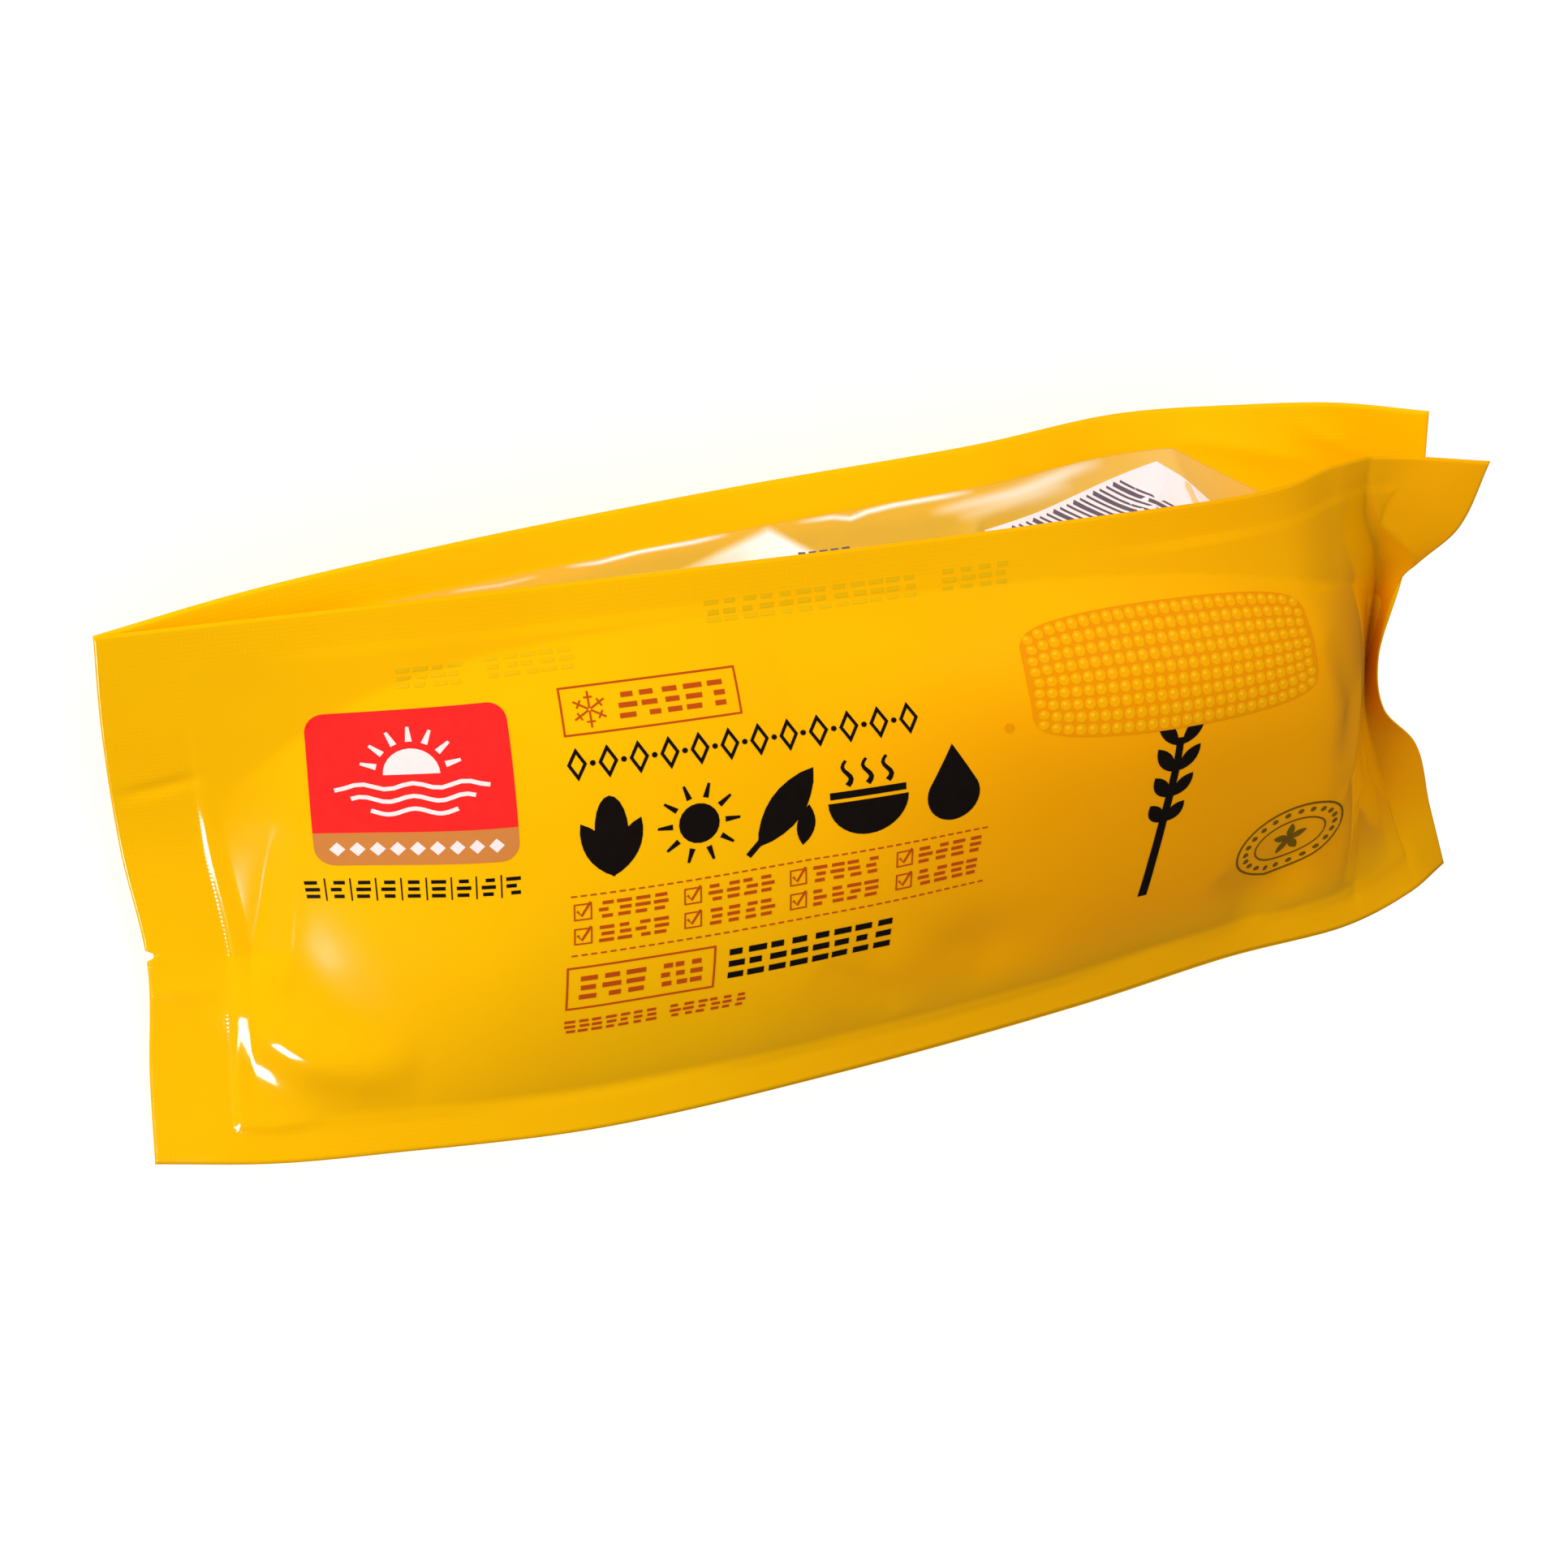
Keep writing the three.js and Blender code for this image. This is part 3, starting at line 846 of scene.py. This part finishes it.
def greeked(x, y, width, height, cell, seed):
    """A row of small blocks of bars that stands for a line of small print, and can't be read."""
    rng = np.random.default_rng(seed)
    count = max(1, round(width / cell))
    pitch = width / count
    bars = 3
    bar = height / (2 * bars - 1)
    shape = []
    for i in range(count):
        for j in range(bars):
            short = rng.uniform(0.0, 0.35) * pitch
            shift = rng.uniform(0.0, 1.0) * short
            shape += box(x + i * pitch + shift, y + 2 * j * bar, pitch * 0.84 - short, bar)
    return shape


def small_print(spots, seed):
    """Greeked rows, each with the next seed."""
    shape = []
    for i, spot in enumerate(spots):
        shape += greeked(*spot, seed + i)
    return shape


def dashes(x, y, width, count, line):
    pitch = width / count
    shape = []
    for i in range(count):
        shape += box(x + i * pitch, y, pitch * 0.62, line)
    return shape


def snow_star(x, y, radius):
    """Six plain arms with a short bar across each."""
    shape = []
    for arm in range(6):
        spoke = box(0.25, -0.17, radius - 0.25, 0.34) + box(radius * 0.62, -0.75, 0.3, 1.5)
        shape += turned(spoke, 60 * arm + 30, x, y)
    return shape


def sun(x, y, radius, rays, reach):
    shape = oval(x, y, radius, radius)
    start = radius * 1.3
    ray = [[(start, -0.5), (reach, -0.22), (reach, 0.22), (start, 0.5)]]
    for i in range(rays):
        shape += turned(ray, 360 * i / rays, x, y)
    return shape


# --- print: what lies where ---


def badge():
    """Rounded patch at the left: red field, brown foot, and a white sunrise over furrows."""
    left, foot, width, foot_height, red_height, corner = 31.5, 57, 33, 6, 22, 3.2
    middle, sun_y, sun_radius = 48, 73.5, 4.6
    red = rounded_box(left, foot + foot_height, width, red_height, corner, 0)
    brown = rounded_box(left, foot, width, foot_height, 0, corner)
    white = [arc(middle, sun_y, sun_radius, sun_radius, 0, 180, 14)]
    ray = [[(5.8, -0.55), (8.4, -0.25), (8.4, 0.25), (5.8, 0.55)]]
    for i in range(7):
        white += turned(ray, 15 + 25 * i, middle, sun_y)
    for row, half in enumerate((12.5, 10.0, 7.0)):
        y = 71.4 - 2.3 * row
        xs = np.linspace(-half, half, 17)
        white += stroke([(middle + x, y + 0.5 * math.cos(x * 0.75)) for x in xs], 0.75)
    for i in range(9):
        white += turned(box(-0.9, -0.9, 1.8, 1.8), 45, 35.2 + 3.2 * i, foot + foot_height / 2)
    return {"red": red, "brown": brown, "white": white}


def badge_row():
    """Nine small black blocks with thin rules between them, under the badge."""
    count, pitch = 9, 4.1
    shape = []
    for i in range(count):
        shape += greeked(29.2 + pitch * i, 50.9, 2.9, 3.2, 3.2, seed=20 + i)
        if i:
            shape += box(28.3 + pitch * i, 50.4, 0.22, 4.2)
    return shape


def diamond(x, y, half_x, half_y):
    return [(x - half_x, y), (x, y + half_y), (x + half_x, y), (x, y - half_y)]


def ornament_row():
    """Open diamonds with dots between, as a border above the title."""
    count, pitch, y = 12, 5.35, 72.7
    shape = []
    for i in range(count):
        x = 75.2 + pitch * i
        outer, inner = diamond(x, y, 1.7, 2.9), diamond(x, y, 1.05, 1.8)
        for j in range(4):
            k = (j + 1) % 4
            shape.append([outer[j], inner[j], inner[k], outer[k]])
        if i < count - 1:
            shape += oval(x + 2.68, y, 0.5, 0.5, 10)
    return shape


def title_row():
    """Five bold black emblems: ear, sun, leaf, bowl and drop."""
    y = 59.5
    ear = oval(80, y + 0.6, 2.9, 6.6)
    ear += leaf(80.2, y - 7.4, 11.5, 4.2, 118) + leaf(79.8, y - 7.4, 11.5, 4.2, 62)
    bright = sun(95.2, y, 3.6, 10, 7.3)
    blade = leaf(105.4, y - 6.2, 17, 6.6, 50) + stroke([(103.6, y - 7.6), (106, y - 5.2)], 1.1)
    blade += leaf(113.5, y - 7.2, 7.5, 3.4, 78)
    bowl = [arc(125.6, y - 0.4, 7.2, 6.6, 180, 360, 18)] + box(118.8, y + 0.3, 13.6, 1.3)
    for i in range(3):
        x = 122 + 3.6 * i
        shares = np.linspace(0, 1, 9)
        rise = [(x + 0.7 * math.sin(2 * math.pi * t), y + 2.6 + 4.6 * t) for t in shares]
        bowl += stroke(rise, 1.0, 0.5)
    drop = [arc(141.2, y - 2.4, 4.9, 4.9, 155, 385, 20) + [(141.2, y + 7.4)]]
    return ear + bright + blade + bowl + drop


def check_list():
    """Two rows of ticked boxes between dashed rules."""
    side = 3.1
    shape = dashes(72.6, 49.1, 76, 46, 0.28) + dashes(72.6, 37.9, 76, 46, 0.28)
    for row, y in enumerate((44.7, 40.1)):
        for column, x in enumerate((73, 92, 111, 130.6)):
            shape += outline_box(x, y, side, side, 0.26)
            shape += stroke([(x + 0.6, y + 1.8), (x + 1.3, y + 0.8), (x + 2.9, y + 3.3)], 0.42)
            shape += greeked(x + 4.2, y, 12.6, side, 3.2, seed=40 + 4 * row + column)
    return shape


def brown_print():
    """Everything in the brown-red ink except the check list."""
    line = 0.36
    shape = outline_box(73.6, 77.6, 31.4, 8.4, line) + snow_star(78.6, 81.8, 3.1)
    shape += greeked(83.6, 79.6, 19.6, 4.4, 4.0, seed=60)
    shape += outline_box(71.8, 27.2, 26, 8.6, line)
    lower = [(73.6, 29.2, 12.6, 4.6, 4.3), (88, 29.2, 8, 4.6, 2.7)]
    small = [(71.8, 22.3, 16.6, 2.6, 2.4), (90.3, 22.3, 14.2, 2.6, 2.4)]
    return shape + small_print(lower + small, 61)


def sprig():
    """Black stem with paired leaves, under the ear."""
    stem = [(186, 60), (185.4, 52), (184.6, 42), (184, 33), (183.6, 25)]
    shape = stroke(stem, 1.5, 1.3)
    for i, (x, y) in enumerate(((185.9, 58.5), (185.5, 53), (185.1, 47.5), (184.6, 42))):
        size = 7.2 - 0.7 * i
        shape += leaf(x + 0.5, y, size, 2.9, 48) + leaf(x - 0.5, y, size, 2.9, 124)
    return shape


# The pictured ear; the nearer bluntness is to 0, the blunter are its ends.
EAR = {
    "rows": 9, "per_row": 25, "length": 61.5, "half": 12.2, "bluntness": 0.3,
    "place": (157, 75.4), "turn": -2.5,
}


def ear_half(angle):
    """Half thickness of the ear, with the angle going from 0 at one tip to pi at the other."""
    return EAR["half"] * math.sin(angle) ** EAR["bluntness"]


def picture_ear():
    """Ear of corn as flat shapes: body, kernels and their lights."""
    rows, per_row, length = EAR["rows"], EAR["per_row"], EAR["length"]
    edge = []
    for t in np.linspace(0, 1, 25):
        angle = math.pi * t
        edge.append((length * (0.5 - 0.5 * math.cos(angle)), ear_half(angle)))
    body = [[(x, -y) for x, y in edge] + [(x, y) for x, y in edge[-2:0:-1]]]
    kernels, lights = [], []
    for row in range(rows):
        level = (row + 0.5) / rows * 2 - 1
        for i in range(per_row):
            x = length * (i + 0.9 + 0.1 * math.sin(2 * row)) / (per_row + 0.8)
            half = ear_half(math.acos(1 - 2 * x / length))
            y = level * half * 0.98
            width, height = 1.08, half / rows * 0.88
            kernels += oval(x, y, width, height, 10)
            lights += oval(x - 0.2, y + height * 0.3, width * 0.4, height * 0.34, 6)
    shapes = {"body": body, "kernels": kernels, "lights": lights}
    return {name: turned(shape, EAR["turn"], *EAR["place"]) for name, shape in shapes.items()}


def stamp():
    """Oval seal of two rings with dots and a plain flower."""
    shape = ring(0, 0, 12.6, 8.2, 0.45) + ring(0, 0, 8.2, 4.8, 0.35)
    for x, y in arc(0, 0, 10.4, 6.5, 0, 360, 22)[:-1]:
        shape += oval(x, y, 0.7, 0.55, 8)
    for i in range(5):
        shape += leaf(0, 0, 3.9, 1.7, 72 * i + 18)
    return turned(shape, 8, 217, 29)


def all_print():
    """Shapes by piece: name, outlines, ink and layer, where a higher layer lies on a lower one."""
    patch = badge()
    ear = picture_ear()
    black = badge_row() + ornament_row() + title_row() + sprig()
    black += greeked(99.8, 28.6, 31.4, 5.9, 3.9, seed=70)
    right = [(102, 93.6, 41, 4.2, 3.4), (147, 93.8, 14, 4.2, 3.4)]
    left = [(47, 88.6, 12, 3.6, 3.0), (62, 89, 16, 3.6, 3.0)]
    faint = small_print(right + left, 71)
    return [
        ("print_red", patch["red"], "red_ink", 0),
        ("print_brown", patch["brown"], "tan_ink", 0),
        ("print_white", patch["white"], "white_ink", 1),
        ("print_black", black, "black_ink", 0),
        ("print_rust", check_list() + brown_print(), "rust_ink", 0),
        ("print_faint", faint, "faint_ink", 0),
        ("print_stamp", stamp(), "olive_ink", 0),
        ("print_ear", ear["body"] + oval(152.2, 68, 0.9, 0.9, 14), "ear_ink", 1),
        ("print_kernels", ear["kernels"], "kernel_ink", 2),
        ("print_lights", ear["lights"], "light_ink", 3),
    ]


def film_label():
    """Pale patch on the film."""
    return [[(168.5, 8.4), (170, 16), (214, 16), (221, 9), (212, 2), (186, 5.9)][::-1]]


def film_bars():
    """Plain bars across the patch, every third one thick, and a few small marks beside it."""
    thin, thick = 0.5, 0.95
    shape = []
    for i in range(17):
        x = 174.5 + 1.75 * i
        y = 8.9 - 0.152 * (x - 168.5) + 0.6
        shape += stroke([(x, y), (x + 9, y + 7)], thin if i % 3 else thick)
    for i in range(5):
        shape += box(129.5 + 2.3 * i, 7.2, 1.5, 0.9)
    return shape + box(67, 3.8, 1.4, 0.5)


# Ink colours in sRGB: the main one and the one it is mottled with.
INKS = {
    "red_ink": ((255, 36, 34), (250, 44, 40)),
    "tan_ink": ((205, 126, 58), (208, 130, 64)),
    "white_ink": ((244, 232, 228), (238, 222, 220)),
    "black_ink": ((16, 12, 11), (24, 18, 14)),
    "rust_ink": ((184, 70, 14), (192, 80, 16)),
    "faint_ink": ((234, 182, 4), (228, 178, 10)),
    "olive_ink": ((112, 82, 12), (124, 92, 14)),
    "ear_ink": ((240, 144, 0), (236, 150, 0)),
    "kernel_ink": ((246, 172, 2), (243, 166, 0)),
    "light_ink": ((252, 194, 34), (250, 188, 26)),
    "label_ink": ((240, 228, 230), (236, 224, 222)),
    "bar_ink": ((92, 80, 92), (112, 98, 108)),
}

# The print leans by this share of its height, away from this height on the panel.
PRINT_LEAN = 0.06
PRINT_LEAN_FROM = 49


def cut_mesh(outlines, step):
    """Triangles that fill the outlines, cut along a grid so that they can follow a curved panel."""
    bm = bmesh.new()
    for outline in outlines:
        bm.faces.new([bm.verts.new((x, y, 0)) for x, y in outline])
    places = np.array([vert.co[:2] for vert in bm.verts])
    for axis, normal in ((0, (1, 0, 0)), (1, (0, 1, 0))):
        first = np.floor(places[:, axis].min() / step)
        last = np.ceil(places[:, axis].max() / step)
        for line in np.arange(first + 1, last) * step:
            middle = [line * part for part in normal]
            everything = bm.verts[:] + bm.edges[:] + bm.faces[:]
            bmesh.ops.bisect_plane(
                bm, geom=everything, dist=1e-5, plane_co=middle, plane_no=normal
            )
    bmesh.ops.triangulate(bm, faces=bm.faces)
    bm.normal_update()
    bm.verts.index_update()
    places = np.array([vert.co[:2] for vert in bm.verts])
    faces = []
    for face in bm.faces:
        corners = [vert.index for vert in face.verts]
        faces.append(corners if face.normal.z > 0 else corners[::-1])
    bm.free()
    return places, np.array(faces)


def slab_faces(triangles, count):
    """Faces of a thin closed slab over the triangles; the lower points follow the upper ones."""
    edges = np.concatenate([triangles[:, pair] for pair in ([0, 1], [1, 2], [2, 0])])
    known = {tuple(edge) for edge in edges.tolist()}
    rim = [(a, b) for a, b in edges.tolist() if (b, a) not in known]
    sides = [[b, a, a + count, b + count] for a, b in rim]
    return triangles.tolist() + (triangles[:, ::-1] + count).tolist() + sides


def print_piece(name, outlines, material, place, layer):
    """Ink shapes as a thin slab that follows the surface they are printed on."""
    places, triangles = cut_mesh(outlines, PRINT_GRID)
    x, y = places.T
    top = place(x, y, PRINT_TOP + layer * INK_STEP)
    foot = place(x, y, PRINT_FOOT)
    points, faces = np.vstack([top, foot]), slab_faces(triangles, len(x))
    piece = make_object(name, points, faces, material, smooth_faces=False)
    return piece


def front_print_surface(x, y, height):
    """The print leans a little on the panel, as the laminate was drawn to that side when filled."""
    return front_surface(x + PRINT_LEAN * (y - PRINT_LEAN_FROM), y, height)


def film_print_surface(x, y, height):
    return film_surface(x, y / FILM_WIDTH, height + FILM_SKIN)


def add_print():
    """Prints panel and film, and returns the pieces on the film."""

    def ink(name):
        return ink_material(name, *(srgb(*colour) for colour in INKS[name]))

    for name, outlines, ink_name, layer in all_print():
        print_piece(name, outlines, ink(ink_name), front_print_surface, layer)
    return [
        print_piece("film_label", film_label(), ink("label_ink"), film_print_surface, 0),
        print_piece("film_bars", film_bars(), ink("bar_ink"), film_print_surface, 1),
    ]


# --- camera, lights and floor ---

# The camera fitted to the photo: its place in metres, its axes, and its lens in millimetres.
CAMERA_PLACE = (-0.1709, 0.0876, 0.4246)
CAMERA_RIGHT = (0.9135, -0.1391, 0.3822)
CAMERA_UP = (0.2034, 0.97, -0.133)
CAMERA_BACK = (-0.3522, 0.1993, 0.9145)
CAMERA_LENS = 54.67
SENSOR_WIDTH = 36


def add_camera():
    data = bpy.data.cameras.new("camera")
    data.lens = CAMERA_LENS
    data.sensor_width = SENSOR_WIDTH
    data.clip_start = 0.01
    camera = bpy.data.objects.new("camera", data)
    turn = Matrix((CAMERA_RIGHT, CAMERA_UP, CAMERA_BACK)).transposed().normalized()
    camera.matrix_world = Matrix.Translation(CAMERA_PLACE) @ turn.to_4x4()
    bpy.context.scene.collection.objects.link(camera)
    bpy.context.scene.camera = camera


# Strength of the surroundings as light, in the gloss and to the camera, and of the floor's sun.
WORLD_LIGHT = 0.42
WORLD_GLOSS = 0.02
WORLD_SEEN = 1.0
FLOOR_SUN = 2.5

# Lamps: place, aim and width in metres, and power in watts.
PACK_MIDDLE = (0, 0, 0.03)
KEY = {"place": (-0.82, 0.47, 0.74), "aim": PACK_MIDDLE, "size": 0.5, "power": 10.6}
FILL = {"place": (0.5, 0.45, 0.7), "aim": PACK_MIDDLE, "size": 0.5, "power": 1.8}
TROUGH_LAMP = {"place": (-0.1, 0.35, 0.9), "aim": (0, 0.045, 0.03), "size": 0.3, "power": 1.4}
GLINT = {"place": (-0.8, -0.5, 0.34), "aim": (-0.11, -0.02, 0.01), "size": 0.2, "power": 4.3}

# Half the floor's width in metres, and its cells along each side.
FLOOR_HALF = 2.5
FLOOR_CELLS = 8


def add_light(name, kind, power):
    """A light that doesn't show in the gloss, straight above until it is moved."""
    data = bpy.data.lights.new(name, kind)
    data.energy = power
    light = bpy.data.objects.new(name, data)
    light.visible_glossy = False
    bpy.context.scene.collection.objects.link(light)
    return light


def add_lamp(name, place, aim, size, power):
    """A square lamp."""
    lamp = add_light(name, "AREA", power)
    lamp.data.size = size
    lamp.location = place
    lamp.rotation_euler = (Vector(aim) - Vector(place)).to_track_quat("-Z", "Y").to_euler()
    return lamp


def light_only(light, things, state):
    """Lets a light fall only on the things (INCLUDE) or on all but the things (EXCLUDE)."""
    group = bpy.data.collections.new(light.name + "_receivers")
    for thing in things:
        group.objects.link(thing)
    for member in group.collection_objects:
        member.light_linking.link_state = state
    light.light_linking.receiver_collection = group


def add_world():
    """White surroundings, dimmer in the gloss and brighter where the camera sees them."""
    world = bpy.data.worlds.new("studio")
    world.use_nodes = True
    tree = world.node_tree
    background = tree.nodes["Background"]
    background.inputs["Color"].default_value = (1, 1, 1, 1)
    path = tree.nodes.new("ShaderNodeLightPath")
    strength = WORLD_LIGHT
    for ray, value in (("Is Glossy Ray", WORLD_GLOSS), ("Is Camera Ray", WORLD_SEEN)):
        mix = tree.nodes.new("ShaderNodeMix")
        tree.links.new(path.outputs[ray], mix.inputs["Factor"])
        if isinstance(strength, float):
            mix.inputs["A"].default_value = strength
        else:
            tree.links.new(strength, mix.inputs["A"])
        mix.inputs["B"].default_value = value
        strength = mix.outputs["Result"]
    tree.links.new(strength, background.inputs["Strength"])
    bpy.context.scene.world = world


def add_studio(floor, trough):
    """Soft light from the upper left, a sun for the floor, and lamps for trough and gloss."""
    bpy.context.scene.view_settings.view_transform = "Standard"
    key = add_lamp("key", **KEY)
    fill = add_lamp("fill", **FILL)
    above = add_light("floor_sun", "SUN", FLOOR_SUN)
    over = add_lamp("trough_lamp", **TROUGH_LAMP)
    light_only(key, [floor], "EXCLUDE")
    light_only(fill, [floor], "EXCLUDE")
    light_only(above, [floor], "INCLUDE")
    light_only(over, trough, "INCLUDE")
    above.light_linking.blocker_collection = above.light_linking.receiver_collection
    glint = add_lamp("glint", **GLINT)
    glint.visible_glossy = True
    glint.visible_diffuse = False


def add_floor():
    bm = bmesh.new()
    bmesh.ops.create_grid(bm, x_segments=FLOOR_CELLS, y_segments=FLOOR_CELLS, size=FLOOR_HALF)
    mesh = bpy.data.meshes.new("floor")
    bm.to_mesh(mesh)
    bm.free()
    mesh.materials.append(floor_material())
    floor = bpy.data.objects.new("floor", mesh)
    bpy.context.scene.collection.objects.link(floor)
    floor.visible_glossy = False
    return floor


add_camera()
laminate = laminate_material()
front = panel_piece("front_panel", front_surface, FRONT_COLUMNS, FRONT_ROWS, 1, laminate)
back = panel_piece("back_panel", back_surface, BACK_COLUMNS, BACK_ROWS, -1, laminate)
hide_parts("pouch")
film = gusset_film(film_material())
corn_cob(kernel_material())
film_prints = add_print()
add_world()
add_studio(add_floor(), [back, film, *film_prints])
